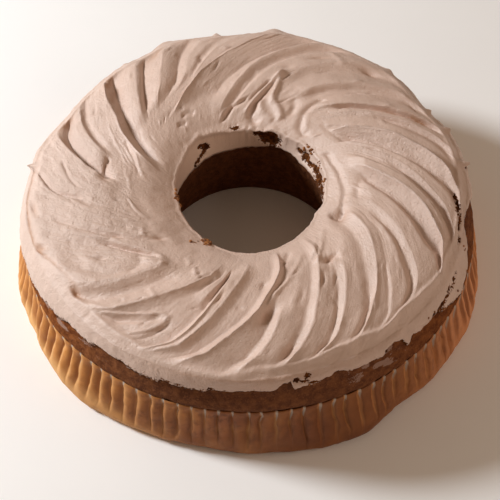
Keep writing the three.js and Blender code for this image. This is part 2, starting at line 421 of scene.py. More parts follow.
# %% Hooks and rim line
HOOKS = np.array([
    # start azimuth, turn of the strokes' outer ends in degrees
    (200, 0), (240, 3), (255, 6), (268, 3), (278, 1.5), (287, 3.5), (297, 1), (313, 4.5),
    (331, 4), (345, 2.5), (357, 2.5), (370, 1), (400, 0)])
RIM_LINE = np.array([
    # start azimuth, radius
    (200, 89), (225, 88), (238, 88.5), (250, 90.2), (262, 90.4), (266, 90.2), (270, 89.2),
    (284, 88.6), (289, 87.2), (297, 87), (303, 88.6), (309, 86.4), (322, 88.2), (328, 88.4),
    (332, 87), (345, 87), (360, 87.5), (385, 88), (450, 89), (480, 88), (520, 88.3)])
RIM_WANDER = 0.3
full_hook = round_cake(start, HOOKS)
rim_at = round_cake(start - full_hook, RIM_LINE) + RIM_WANDER * wander(azimuth, 1.0)
hook = full_hook * ease(radius, rim_at - 6, rim_at + 1)
start = start - hook
azimuth = azimuth - hook
print("rim line from", round(rim_at.min(), 1), "to", round(rim_at.max(), 1), "mm")

# %% [markdown]
# The lift of a stroke is blended from line to line. It fades at the line's reach and closes at the
# rim, and noise along the line makes it uneven. A crest's own column stands a little higher, which
# gives the sharp edge that a knife leaves.

# %% Lift of the strokes
UNEVEN_STROKE = 0.25
STROKE_LUMPS = 8.0
STROKE_APART = 9.7
KNIFE_EDGE = 0.12


def line_lift(number):
    reach = line_reach[number][:, None]
    fade = ease(radius, reach - 3, reach + 4)
    closing = ease(radius, rim_at - 4, rim_at + 0.6)
    spots = np.stack(np.broadcast_arrays(STROKE_APART * number[:, None], radius, 0.5), axis=-1)
    uneven = 1 + UNEVEN_STROKE * lumps(spots, STROKE_LUMPS, 11)
    return line_height[number][:, None] * fade * (1 - closing) * uneven


def slope(part, curve):
    late = part ** np.maximum(curve, 1)
    early = 1 - (1 - part) ** (1 / np.clip(curve, 0.1, 1))
    return np.where(curve == 0, ease(part, 0, 1), np.where(curve < 1, early, late))


lift = mix(line_lift(line), line_lift(following), slope(share, line_bend[line])[:, None]) * on_top
lift = lift * (1 + KNIFE_EDGE * (is_crest[line] & (share == 0))[:, None])
print("lift from", round(lift.min(), 2), "to", round(lift.max(), 2), "mm")

# %% [markdown]
# Round the hole the icing ends in a lip. On the far side it hangs down the wall of the hole as a thin
# sheet, on the near side it stands out over the hole. So the lip is listed round the hole: the radius
# where the top turns down, and the radius and height of its lower edge.

# %% Lip of the hole
LIP = np.array([
    # azimuth, radius of the edge, radius and height of the foot
    (0, 31.4, 30.8, 41.8), (18, 32.6, 30.2, 41.4), (32, 33.4, 30, 41.2), (45, 34.2, 30.6, 41),
    (56, 33.6, 32.2, 40.8), (66, 34, 33.2, 39.8), (78, 33.6, 33.4, 38.5), (90, 33.4, 33.2, 37.2),
    (103, 33.6, 33, 36.8), (118, 34.4, 32.8, 37), (126, 35.2, 32.5, 37), (134, 35.4, 32.1, 37.2),
    (142, 33.6, 31.6, 37.6), (150, 32.4, 31, 38.4), (160, 31.6, 30.4, 39.6), (174, 30.4, 30.2, 41.4),
    (190, 29.2, 31.4, 41.8), (212, 28.8, 32.4, 41), (226, 28.8, 32.4, 41), (240, 29.6, 32.6, 41),
    (256, 30.4, 32.8, 41), (274, 31, 33, 41), (290, 30, 33, 41), (306, 29.4, 33, 41),
    (326, 29.4, 33, 41), (341, 29.2, 33.2, 41.2), (350, 30.8, 33.4, 41.4)])
LIP_ROLL = 1.6
ROLLED_SHARE = 0.4
SHIFTED_UNTIL = 48
EDGE_FRAY = 0.35
FOOT_FRAY = 0.5
edge_radius, foot_radius, foot_height = (round_cake(azimuth, LIP, column) for column in (1, 2, 3))
frayed = rough_lumps(plan(40.0, azimuth, 0.0), 4.0, 33)
edge_radius = edge_radius + EDGE_FRAY * frayed
foot_height = foot_height + FOOT_FRAY * frayed
shifted = (1 - ease(radius, LAST_TOP_RADIUS, SHIFTED_UNTIL)) * on_top
base_radius = radius + (edge_radius + LIP_ROLL - LAST_TOP_RADIUS) * shifted
base_height = mix(np.broadcast_to(row_height, radius.shape), dome(base_radius), on_top)
lip_rows = slice(LIP_FROM, UNDER_FROM)
lip_edge = edge_radius[:, lip_rows]
turned_down = np.minimum(lip_t / ROLLED_SHARE, 1)
hanging = np.clip((lip_t - ROLLED_SHARE) / (1 - ROLLED_SHARE), 0, 1)
lip_top = dome(lip_edge + LIP_ROLL)
rolled = bend(lip_edge + LIP_ROLL, lip_edge, lip_edge, turned_down)
dropped = bend(lip_top, lip_top, lip_top - LIP_ROLL, turned_down)
base_radius[:, lip_rows] = mix(rolled, foot_radius[:, lip_rows], hanging)
base_height[:, lip_rows] = mix(dropped, foot_height[:, lip_rows], hanging)
print("lip edge from", round(lip_edge[:, 0].min(), 1), "to", round(lip_edge[:, 0].max(), 1), "mm")

# %% [markdown]
# The knife also left folds of its own, such as the curl where it was lifted at the back and the thin
# lips round the hole. A fold is a short chain of points with a height and a half width, and the
# distance to the chain gives the fold's shape.

# %% Folds
FOLDS = [
    # height, half width, azimuth and radius of each point
    (1.6, 0.9, [(48.5, 61.5), (45, 57.8), (41, 53.7), (37.3, 49.2), (33.6, 46.4), (29.9, 45), (25, 43),
        (20, 40.4)]), (1, 0.8, [(40, 46), (37.3, 43.8), (32, 41), (24, 38.7)]),
    (-1.7, 1.5, [(46.2, 57), (43.2, 50.5), (41.8, 45), (38.8, 40), (33, 37)]),
    (1.2, 0.9, [(48.3, 60), (45.9, 54.5), (44.4, 49), (43.6, 42.5)]),
    (-0.8, 0.8, [(48.2, 56.5), (46.9, 51.5), (46.6, 47)]),
    (-1.2, 1.3, [(50.2, 46.6), (54.7, 43.4), (57, 39.8)]),
    (0.7, 0.6, [(50.5, 48.2), (56.5, 44.4), (59.6, 40.4)]),
    (-1.3, 1.1, [(378.8, 54.5), (377.1, 50.5), (375.1, 47), (371.2, 43.7), (365, 39.6), (358, 37.5)]),
    (0.7, 0.6, [(372.5, 45.5), (368, 43), (361, 39.6)]),
    (-1, 1.2, [(386.5, 49.8), (382, 47), (378.6, 43.8)]),
    (-1.3, 0.9, [(291, 37), (294, 41), (297, 41), (302, 40), (309, 40), (316, 39.2), (324, 38.4),
        (337, 38)]), (-0.8, 1, [(309.5, 45), (317, 45.5), (320, 46.5)]),
    (-0.8, 0.6, [(262.2, 62), (262.6, 57), (263.5, 53)]),
    (0.6, 0.8, [(263.8, 58), (266, 52), (268, 46.3), (270, 42)]),
    (0.8, 0.8, [(276.3, 48), (278.5, 41), (281.5, 38)]),
    (0.6, 0.7, [(273.8, 46), (275.5, 41), (277, 38)]),
    (-1, 0.8, [(263.2, 43), (264.5, 39.5), (265, 37.5)]),
    (0.9, 0.7, [(229.3, 48.6), (232, 50.5), (236, 53.2)]),
    (-0.8, 0.8, [(234.5, 51.5), (237.5, 52.6), (239.3, 50.5)]),
    (0.6, 0.6, [(216, 44.5), (220.5, 45.6), (224, 46.8)]),
    (0.7, 0.7, [(205, 51.6), (209, 52.3), (213, 54.2)]),
    (0.5, 0.6, [(224.5, 65.5), (227.5, 67), (230.3, 68.6)]),
    (0.7, 0.6, [(178.3, 48.8), (181, 49.6), (183.7, 49.8)]), (0.6, 0.6, [(170, 43), (173.5, 43.6)]),
    (0.35, 0.5, [(139, 49.8), (146, 50), (152, 48.8)]), (0.4, 0.5, [(142, 51.6), (147, 51)]),
    (-0.5, 0.7, [(131, 55.3), (133, 50.5), (136, 47.2), (139, 45.3)]),
    (0.6, 0.8, [(131.4, 48.8), (134.7, 46.5), (139, 43.5)]),
    (0.35, 0.5, [(133.8, 66), (134.8, 59.8), (135.7, 54.5), (137.3, 51)]),
    (0.4, 0.5, [(135.2, 61), (137, 55.8), (139, 53)]),
    (-1.4, 0.8, [(145.4, 60.6), (148, 61), (151.2, 60)]),
    (0.7, 0.6, [(45.7, 77.7), (50.2, 80.3), (57, 83)]), (-1, 0.9, [(81, 46.5), (84, 47.8), (88, 48)]),
    (-1, 0.8, [(86.8, 44), (91.5, 45)]), (0.7, 0.6, [(159.5, 49.7), (163.5, 47.5), (167.5, 44.8)]),
    (-1.2, 0.9, [(173, 87), (173.4, 84), (174.1, 80), (173.2, 76), (171, 70)]),
    (-1.2, 1.4, [(192, 64.5), (194.5, 60.5), (197.2, 56.5), (201.5, 54.5)]),
    (-0.9, 0.8, [(162.9, 78.3), (164.9, 74.3), (166, 70.5)]), (0.6, 0.5, [(375, 71.4), (378, 74)]),
    (0.6, 0.6, [(370.5, 56.5), (372.5, 60.3)]), (0.5, 0.5, [(363.5, 65), (366, 66)]),
    (0.6, 0.5, [(83.5, 76.2), (86, 77.5)]), (-0.7, 0.6, [(88.6, 70.8), (92, 74.2)]),
    (0.8, 0.55, [(226, 85.4), (229.5, 81), (232.4, 77), (236.6, 73.4), (238.8, 73.6), (239.6, 76),
        (238.8, 80), (236, 85.6)]), (-0.9, 1.4, [(229.5, 84.3), (233, 80.2), (236.6, 76.2)]),
    (-0.7, 0.7, [(238.5, 87), (240.4, 82), (240.6, 76)]),
    (-0.9, 1.5, [(186, 80), (186.3, 70), (186.8, 60), (186.5, 52), (186.4, 46)]),
    (-0.8, 1.3, [(191, 67), (193, 62), (196, 57), (200.5, 53.6), (205, 52.8)]),
    (0.5, 0.9, [(203, 51.4), (208, 51), (212, 52), (215, 55)]),
    (-0.6, 1.6, [(355.5, 61), (356, 55), (356.5, 48)]),
    (-0.7, 0.6, [(347.5, 46.3), (352, 45.3), (357, 44.8), (360, 45.2)]),
    (-0.35, 0.8, [(200, 56.8), (205, 58.2), (209.5, 61), (212, 66)])]
seen = azimuth - sweep * inward(base_radius)


def arc_from(at, out):
    return turn_from(seen, at) * math.radians(1) * out


def distance_to_fold(points):
    best = np.full(radius.shape, np.inf)
    for (first_at, first_out), (last_at, last_out) in zip(points[:-1], points[1:]):
        out = (first_out + last_out) / 2
        span_u = (last_at - first_at) * math.radians(1) * out
        span_r = last_out - first_out
        along_u = arc_from(first_at, out)
        along_r = base_radius - first_out
        part = np.clip((along_u * span_u + along_r * span_r) / (span_u ** 2 + span_r ** 2), 0, 1)
        best = np.minimum(best, np.hypot(along_u - part * span_u, along_r - part * span_r))
    return best


marked = np.zeros(radius.shape)
for rise, width, points in FOLDS:
    marked += rise * hump(distance_to_fold(points), width)
print(len(FOLDS), "folds")

# %% [markdown]
# Dents and pits are ovals with a length, a width and a direction. Many small nicks are scattered by a
# seeded draw. Two wide bowls with firmer edges dent the left side.

# %% Pits, nicks and bowls
PITS = [
    # start azimuth, radius, half length, half width, direction, depth
    (263.4, 67.5, 3.6, 1.6, 80, -1.6), (280.4, 51, 2.6, 1.3, 6, -1.7),
    (283.7, 53, 2.2, 0.7, 60, -0.9), (277.5, 58.3, 2.3, 0.8, 88, -1),
    (271.5, 61, 3, 0.8, 86, -0.7), (275.5, 45.7, 1.8, 0.8, 20, -1),
    (248.6, 61, 3, 0.7, 92, -0.8), (245.8, 65, 1.2, 0.9, 60, -0.7),
    (255.2, 63.6, 1, 0.7, 30, -0.6), (258.8, 52.4, 1.2, 1, 50, -0.7),
    (200.8, 70.6, 1.8, 1.2, 70, -1.5), (193.8, 77.9, 1.3, 0.6, 20, -0.7),
    (184.7, 88, 3.5, 1.3, -8, -1.4), (155, 59.4, 2.4, 1.6, 60, -1.6),
    (186.7, 45, 3.4, 1.2, -8, -0.8), (186.9, 61, 1.6, 2.2, 0, -0.5), (50.7, 65.6, 2.6, 1.5, 20, -0.8),
    (42.3, 82.6, 3.6, 1.8, 10, -1.7), (52.2, 76.4, 2, 2.4, 0, -1.1), (23.7, 83.6, 2.4, 0.8, 10, -0.8),
    (95.2, 83, 2, 1.5, 30, -0.5), (294, 40.5, 3.4, 2.4, 50, -2.2),
    (297, 41.6, 2.8, 1.8, 30, -1.3), (300, 67.5, 1.6, 0.9, 10, -0.4),
    (161, 44, 6, 2.4, -20, -0.6), (139.4, 77.6, 0.9, 0.9, 0, -0.6), (48.8, 61.4, 2.2, 1.8, 45, 0.8),
    (275, 83, 2.6, 1.6, 80, -1), (198.5, 89, 2.2, 1.2, 60, -1.2),
    (216.5, 86.8, 2.6, 1.1, 20, -1.1)]
BOWLS = [
    # start azimuth, radius, half length, half width, depth
    (202.5, 69, 13, 14, -1.5), (202, 68.5, 9, 9.5, 0.7)]
BOWL_EDGE = 6
NICKS = 190


def along_and_across(at, out, direction):
    along_u = arc_from(at, out)
    along_r = base_radius - out
    turned = math.radians(direction)
    along = along_u * math.cos(turned) + along_r * math.sin(turned)
    across = along_r * math.cos(turned) - along_u * math.sin(turned)
    return along, across


rng = np.random.default_rng(23)
nicks = zip(
    rng.uniform(0, 360, NICKS), rng.uniform(40, 86, NICKS), rng.uniform(0.8, 2.6, NICKS),
    rng.uniform(0.35, 0.6, NICKS), rng.normal(75, 30, NICKS), rng.normal(-0.05, 0.4, NICKS))
for at, out, length, width, direction, rise in [*PITS, *nicks]:
    along, across = along_and_across(at, out, direction)
    marked += rise * oval(along / length, across / width)
for at, out, length, width, rise in BOWLS:
    along, across = along_and_across(at, out, 0)
    marked += rise * np.exp(-(np.hypot(along / length, across / width) ** BOWL_EDGE))
marked = marked * on_top * ease(radius, LAST_TOP_RADIUS, LAST_TOP_RADIUS + 3)
print(len(PITS), "pits,", NICKS, "nicks, marks from", round(marked.min(), 1), "mm")

# %% [markdown]
# A thin raised line runs round the rim where each stroke began. At the left there is a narrow cleft
# instead. The top is a little fuller than the plain dome and rounds off at the shoulder, and it rises
# towards the hole at the left.

# %% Rim line and fullness
RIM_RISE = 0.7
RIM_MORE = [(310, 30, 0.6)]
LEFT = 190
CLEFT_WIDTH = 0.7
FULLNESS = 0.9
ROUNDING = 0.7
ROUNDED_FROM = 86
SHOULDER_FROM = 87
INNER_LEFT = [(170, 32, 2.2)]
rim = hump(radius - rim_at, 1.0) * on_top * (1 - near(start, LEFT, 25))
cleft_at = SHOULDER_RADIUS - 5 * ease(start % 360, LEFT + 6, LEFT + 20)
cleft = hump(radius - cleft_at, CLEFT_WIDTH) * near(start, LEFT, 20) * on_top
at_shoulder = ease(radius, SHOULDER_FROM, SHOULDER_RADIUS)
fuller = FULLNESS * ease(radius, LIP_RADIUS + 3, LIP_RADIUS + 14) * (1 - at_shoulder) * on_top
past_edge = np.clip((radius - ROUNDED_FROM) / (SHOULDER_RADIUS - ROUNDED_FROM), 0, 1)
upper = on_top.copy()
upper[lip_rows] = 1 - hanging
inner_left = bumps(azimuth, INNER_LEFT) * (1 - ease(base_radius, 36, 60)) * upper
height = base_height - ROUNDING * past_edge ** 2 * on_top + fuller + inner_left + lift + marked
height = height + (RIM_RISE + bumps(start, RIM_MORE)) * rim - cleft
print("top at", round(height.max(), 1), "mm")

# %% [markdown]
# The side below the rim is smooth, and its lower edge is ragged: it hangs low at the left and at the
# right front. At the back of the hole the edge of the top peels up a little.

# %% Skirt of the icing
SKIRT = np.array([
    # azimuth, height of the lower edge
    (0, 43.5), (10, 41.5), (30, 41), (90, 40.5), (165, 40), (176, 36.6), (186, 32.4), (194, 30.8),
    (200.6, 30.4), (206, 32.2), (209, 33.4), (214, 35.4), (220, 36.6), (225, 37), (233, 38.2),
    (241, 37.8), (250, 37.2), (258, 37.8), (265, 39.4), (272, 40), (276, 40.6), (278, 43.5),
    (280.2, 45.2), (281, 39.4), (284.6, 38.9), (287.6, 40), (288.4, 41.6), (292, 42.4), (299, 41.6),
    (304, 40.4), (306, 41), (308, 42.6), (310.6, 42.6), (312.6, 34.6), (313.8, 40.4), (319.5, 39.6),
    (324, 37.4), (328, 34.6), (331, 31.2), (334, 29.8), (338, 30.4), (341, 32), (342.6, 36),
    (344, 41.5), (346.5, 44.6), (350, 45.8), (355, 45.2)])
SKIRT_WANDER = 0.3
SKIRT_LUMPS = 1.3
PEEL_WIDTH = 0.9
PEELED = [(100, 45, 0.5)]
low_side = on_side * (1 - rows / TOP_FROM)
ragged = round_cake(azimuth, SKIRT) - SKIRT_HEIGHT + SKIRT_WANDER * wander(azimuth, 2.0)
ragged += SKIRT_LUMPS * rough_lumps(plan(radius, azimuth, 0.0), 3.6, 21)
peeled = bumps(azimuth, PEELED) * hump(radius - LAST_TOP_RADIUS, PEEL_WIDTH) * shown
height = height + ragged * low_side + peeled * (1 + frayed)
print("skirt from", round(height[:, 0].min(), 1), "to", round(height[:, 0].max(), 1), "mm")

# %% [markdown]
# Slow noise bends the strokes, finer noise tears the icing at the right and at the left, and drag
# lines run along every stroke. The material uses the drag lines and the grainy places again.

# %% Drag lines and roughness
DRAG_CELLS = 70
DRAG_LENGTH = 11.0
GRAINY_RIGHT = (345, 35)
GRAINY_LEFT = [(175, 45, 0.9)]
GRAINY_SIDE = 0.8
DRAGGED_LEFT = [(LEFT, 45, 0.13)]
LUMPY_LEFT = [(185, 34, 0.4)]
DRAG_HEIGHT = 0.05
COARSE_HEIGHT = 0.12
FINE_HEIGHT = 0.08
GRAINY_HEIGHT = 0.07
drag = plan(DRAG_CELLS, start, radius / DRAG_LENGTH)
spots = plan(base_radius, azimuth, height)
rising = np.clip(0.5 * (line_height[following] - line_height[line]), 0, 1)[:, None]
grainy = near(start, *GRAINY_RIGHT) * (0.3 + rising) + bumps(start, GRAINY_LEFT)
grainy = mix(GRAINY_SIDE * on_side, np.clip(grainy, 0, 1) * ease(radius, 42, 55), on_top)
dragged = (DRAG_HEIGHT + bumps(start, DRAGGED_LEFT)) * ease(radius, 44, 60) * lumps(drag, 1.0, 41)
coarse = COARSE_HEIGHT * rough_lumps(spots, 6.0, 31)
coarse = coarse + bumps(start, LUMPY_LEFT) * rough_lumps(spots, 7.0, 35)
fine = (FINE_HEIGHT + GRAINY_HEIGHT * grainy) * rough_lumps(spots, 2.0, 51)
height = height + (dragged + coarse + fine) * ease(radius, LIP_RADIUS, LIP_RADIUS + 6) * on_top
print("drag lines up to", round(np.abs(dragged).max(), 2), "mm high")

# %% [markdown]
# In some places the icing is torn or spread so thinly that the crust shows: along the right edge, in
# short slits and on the far wall of the hole. Each bare spot has an azimuth, a height or radius and
# two half sizes. The speckles are weaker, so that only the grain of the material opens them. Noise
# frays every outline, and the surface sinks a little at each bare spot.

# %% Bare spots
RIM_SPOTS = [
    # azimuth, height, half width in degrees, half height
    (9, 46.6, 1, 1), (351, 46.6, 1.6, 1.2), (346.5, 44.6, 1.6, 1), (333, 44.2, 1.2, 1),
    (334.4, 45.2, 0.7, 0.6), (328, 41.8, 1.6, 1.4), (326, 41, 2.6, 2), (323.5, 39.4, 2.6, 2.2),
    (320, 38.6, 2.4, 1.8), (317, 38.8, 2, 1), (330, 43.4, 1.6, 0.9), (322, 41.8, 1, 0.8),
    (306.6, 43.6, 2, 1.3), (301, 41.4, 2.6, 1.1), (284.2, 46.2, 1, 1), (281.4, 45, 1.2, 1),
    (283.2, 44, 1.4, 0.9), (285.4, 42.9, 1.4, 0.7), (287.4, 42.2, 1, 0.6), (261, 41.2, 1.2, 0.8)]
HOLE_SPOTS = [
    # azimuth, height, half width in degrees, half height
    (74, 43.6, 8, 3.8), (82, 46.2, 6, 1.3), (100, 48.9, 4, 0.6), (48, 44.8, 3, 1),
    (42, 44.3, 4, 1.7), (35, 43.6, 4, 1), (27, 44.3, 5, 1.2), (19, 43.4, 6, 1.9),
    (8, 43, 7, 1.6), (184, 43.6, 7, 1.6), (127.4, 45, 2.6, 0.9), (124, 44.3, 3, 1.2),
    (122.4, 43, 2.2, 1.2), (125, 41.7, 1.9, 1.2), (128, 40.5, 2, 1.1), (131, 39.4, 2.2, 1),
    (135, 38.4, 2.6, 1)]
EDGE_HOLES = [
    # azimuth, radius, half width in degrees, half width across
    (357, 85.4, 1.2, 0.8), (354.6, 86, 1.4, 1), (352.4, 87, 2, 1.3), (349.6, 88.4, 2.2, 1.2),
    (347, 88.4, 2, 0.7), (343.2, 89.6, 1.2, 1)]
SPECKLES = [
    # azimuth, height, half width in degrees, half height
    (331, 43, 3.2, 1.8), (327, 41.6, 3.4, 2.6), (322, 39.8, 3.4, 2.4), (316, 38.8, 3, 1.2),
    (270, 40.8, 8, 0.8), (300, 41, 6, 0.9), (252, 40.6, 8, 0.8)]
SPECKLE = 0.56
HOLE_STRENGTH = 1.5
WORN = 0.75
WORN_ROWS = 4.5
MORE_WORN = [(235, 26, 3.5)]
SPOT_FRAY = 0.35
SPOT_DEPTH = 0.6
edge_zone = ease(radius, EDGE_INNER, EDGE_INNER + 2) * shown
hole_zone = HOLE_STRENGTH * (1 - ease(radius, LAST_TOP_RADIUS, LAST_TOP_RADIUS + 1.5)) * shown
bare = np.zeros(radius.shape)
for spot_list, measure, zone in (
        (RIM_SPOTS, height, edge_zone), (HOLE_SPOTS, height, hole_zone),
        (EDGE_HOLES, base_radius, on_top), (SPECKLES, height, SPECKLE * on_side)):
    for at, middle, wide, tall in spot_list:
        spot = oval(turn_from(azimuth, at) / wide, (measure - middle) / tall)
        bare = np.maximum(bare, spot * zone)
worn_edge = WORN * np.clip(1 - rows / (WORN_ROWS + bumps(azimuth, MORE_WORN)), 0, 1) * on_side
bare = np.maximum(bare + SPOT_FRAY * bare * rough_lumps(spots, 1.6, 101), worn_edge)
sunk = SPOT_DEPTH * ease(bare, 0.4, 0.6)
height = height - sunk * on_top
print(round(100 * (bare > 0.5).mean(), 1), "% of the points are bare")

# %% [markdown]
# The outline of the icing is uneven too. Swells are wide and shallow, tears are narrow flaps and
# strands at the rim. The skirt is pulled in where it ends high and stands out where it hangs low.

# %% Uneven outline
SWELLS = [
    # azimuth, half width in degrees, reach
    (32, 8, -2.6), (50, 4, 0.4), (80, 5, 1.2), (95, 5, -1.5), (112, 6, 1.5), (129, 5, 0.9),
    (151, 8, -1.4), (165, 6, 0.8), (186, 10, 1)]
TEARS = [
    # azimuth, half width in degrees, reach
    (9.5, 0.7, 4.2), (22, 1.2, 2.4), (30, 0.8, 2.2), (48, 1.4, 1.4), (83, 2.6, 2.6), (99, 1, 2.2),
    (114, 3, 2), (127, 0.7, 0.9), (171, 0.6, 3.6), (335, 1.5, 0.8)]
TEAR_ROWS = 3.5
BULGES = [(264, 14, 1.6), (236, 14, 0.8)]
BULGE_ROWS = 5
PULLED_BACK = [(351, 6, 1.2)]
TUCK = 0.6
HANG = 0.26
WOBBLE = 0.7
TOP_LUMPS = 0.35
SIDE_LUMPS = 0.2
SIDE_GRAIN = 0.14
outward = sunk * ((radius < LAST_TOP_RADIUS) - on_side)
outward += (HANG * np.maximum(-ragged - 2, 0) - TUCK * np.maximum(ragged - 1, 0)) * low_side
outward += bumps(azimuth, SWELLS) * ease(radius, 78, 92) * shown
outward += bumps(azimuth, BULGES) * hump(rows - TOP_FROM, BULGE_ROWS)
outward -= bumps(azimuth, PULLED_BACK) * (2 * on_side + at_shoulder * on_top)
outward += bumps(azimuth, TEARS) * hump(rows - TOP_FROM, TEAR_ROWS)
outward += rough_lumps(spots, 5.0, 61) * (TOP_LUMPS * on_top + SIDE_LUMPS * on_side)
outward += SIDE_GRAIN * rough_lumps(spots, 2.2, 63) * on_side
place = plan((base_radius + outward) * narrowed(azimuth), azimuth, height)
wobble = WOBBLE * shown * ease(radius, LIP_RADIUS + 2, LIP_RADIUS + 14) * (1 - ease(radius, EDGE_INNER, 90))
place[..., 0] += wobble * lumps(spots, 14.0, 71)
place[..., 1] += wobble * lumps(spots, 14.0, 72)
print("outline from", round(outward.min(), 1), "to", round(outward.max(), 1), "mm off the round")

# %% [markdown]
# Where the icing is thin, the brown crust tints it. The same brown is also painted shade in the pits,
# the hollows and the cleft, and on the front of the side band, which lies in shade. These marks are
# ovals again, listed by where the knife passed. The sheet that hangs into the hole gets a mask for a
# paler colour, which is painted light on that shaded wall.

# %% Thin places, painted shade and painted light
STAINS_AND_SHADE = [
    # start azimuth, radius, half width in degrees, half length, strength
    (132.6, 85, 1.6, 4, 0.9), (130, 77, 2, 5, 0.6), (127, 68, 2.2, 6, 0.35),
    (152.5, 87, 3.2, 1.6, 0.8), (156.5, 81, 1.4, 5, 0.6), (155.5, 72, 1, 5, 0.3),
    (155.5, 60, 1.6, 2, 0.4), (148, 60.5, 2.6, 0.7, 0.5), (143, 88.2, 3, 0.8, 0.5),
    (145, 78, 1, 6, 0.3), (115, 86, 3, 2, 0.55), (16, 81, 1.2, 3, 1), (14.2, 74, 0.9, 5, 0.7),
    (216, 87, 2.2, 1.3, 1), (198.6, 89.2, 1.3, 1.2, 0.9), (185, 88, 2.5, 1.2, 0.35),
    (186.5, 46, 2.5, 1.6, 0.3), (187.5, 61, 1.2, 3, 0.25), (263.5, 67, 1.2, 3, 0.5),
    (275, 83, 1.4, 2.4, 0.4), (281, 50.5, 1.6, 1, 0.5), (277, 57.5, 0.6, 2.2, 0.4),
    (248.6, 60, 0.6, 4, 0.4), (294, 40, 3, 2.4, 0.4), (79, 81, 2, 2, 0.3),
    (42, 82, 3, 2, 0.3), (23, 83.5, 2.4, 1.2, 0.4), (52, 76, 1.2, 3, 0.25)]
CLEFT_SHADE = 0.8
STAIN_AND_SHADE_FRAY = 0.4
SIDE_SHADE = [(270, 30, 0.5)]
SHEET = (118, 36)
# The brown is partly crust showing through thin icing and partly painted shade in pits, hollows, the cleft
# and the shaded front of the side band.
stain_and_shade = CLEFT_SHADE * cleft
for at, out, wide, long, strength in STAINS_AND_SHADE:
    stain_and_shade += strength * oval(turn_from(seen, at) / wide, (base_radius - out) / long)
stain_and_shade = np.clip(stain_and_shade + STAIN_AND_SHADE_FRAY * stain_and_shade * rough_lumps(spots, 2.0, 111), 0, 1) * on_top
stain_and_shade += bumps(azimuth, SIDE_SHADE) * on_side
# Painted light: a mask for a paler colour on the sheet that hangs down the shaded wall of the hole.
sheet_light = near(azimuth, *SHEET) * ease(rows, LIP_FROM + 4, LIP_FROM + 8) * shown
icing = ring_piece("coffee_icing_swirl", place, {
    "drag": drag, "grainy": grainy, "stain_and_shade": stain_and_shade, "bare": bare, "sheet_light": sheet_light})
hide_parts("coffee_icing")

# %% [markdown]
# ## The sponge
# The browned side of the sponge shows between the case and the icing, and its dark wall inside the
# hole. The profile runs along the base, up the outer side, over the top and down the hole.

# %% Profile of the sponge
WALL_STEPS = 26
SIDE_TOP = 38.0
SIDE_LEVELS = (25, 27, 28.5, 30, 34, SIDE_TOP)
SIDE_FULLNESS = (0.4, 1.3, 2.3, 2.3, 1.3, -0.3)
HOLE_TOP_DROP = 7
HOLE_FOOT = 1.6
BASE_HEIGHT = 0.8
BASE_CORNERS = [(HOLE_RADIUS_BASE, BASE_HEIGHT), (SPONGE_SIDE - 4, BASE_HEIGHT), (SPONGE_SIDE + 2.4, 5.8)]
TOP_CORNERS = [(92.2, 41.0), (91.2, 43.2), (88.6, 45.2), (84.0, 46.2), (51.2, 46.5), (39, 44.4), (35, 39.5)]
wall_t = np.linspace(0, 1, WALL_STEPS)
outer_height = mix(CASE_HEIGHT - 3, SIDE_TOP, wall_t)
outer_radius = SPONGE_SIDE + np.interp(outer_height, SIDE_LEVELS, SIDE_FULLNESS)
down = mix(0.06, 0.98, wall_t)
inner_radius = mix(HOLE_RADIUS_TOP, HOLE_RADIUS_BASE, down)
inner_height = mix(SPONGE_TOP - HOLE_TOP_DROP, HOLE_FOOT, down)
profile = np.concatenate([
    BASE_CORNERS, np.stack([outer_radius, outer_height], axis=1),
    TOP_CORNERS, np.stack([inner_radius, inner_height], axis=1)])
print(len(profile), "points in the profile")

# %% [markdown]
# The crust is pitted and uneven, so noise pushes the wall in and out by a few tenths of a millimetre.
# Two masks go to the material: smears of icing below the skirt, and a golden tone at the left and
# right, which is painted light on the sides that the key light and the fill light reach.

# %% Sponge ring
SPONGE_COLUMNS = 640
FULLER_LEFT = [(213, 10, 0.8)]
SMEARS = [(304, 9, 1), (215, 20, 0.75)]
# Painted light: a lighter, redder crust at the left, lit by the key, and at the right, lit by the fill.
GOLDEN_LIGHT = [(208, 22, 1), (332, 24, 0.7)]
CRUST_RELIEF = 0.28
HOLE_RELIEF = 0.5
around = (np.arange(SPONGE_COLUMNS) * 360 / SPONGE_COLUMNS)[:, None]
wall_radius, wall_height, spots = spread_profile(profile, around)
around = np.broadcast_to(around, wall_radius.shape)
bare_wall = ease(wall_height, CASE_HEIGHT - 2, CASE_HEIGHT) * (1 - ease(wall_height, 41, 42))
hole_wall = (wall_radius < HOLE_RADIUS_BASE - 0.1) * (wall_height < 38.8)
relief = bumps(around, FULLER_LEFT) * ease(wall_height, 24, 28) * (1 - ease(wall_height, 30, SIDE_TOP))
relief += CRUST_RELIEF * bare_wall * rough_lumps(spots, 3.2, 81)
relief += HOLE_RELIEF * hole_wall * rough_lumps(spots, 4.0, 82)
streaked = rough_lumps(np.stack([around / 3, wall_height / 2, wall_height / 2], axis=-1), 1.0, 85)
smear = ease(streaked, -0.3, 0.4) * bumps(around, SMEARS) * ease(wall_height, 31, 34)
sponge = ring_piece("sponge_crust", plan(wall_radius * narrowed(around) + relief, around, wall_height), {
    "smear": np.clip(smear, 0, 1), "golden": bumps(around, GOLDEN_LIGHT) * bare_wall})
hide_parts("sponge_ring")

# %% [markdown]
# ## Crumbs
# Crumbs of crust cling to the icing round the hole and along the torn right edge. Each crumb is a small
# lumpy ball on a point of the icing's grid. They are all joined in one mesh.

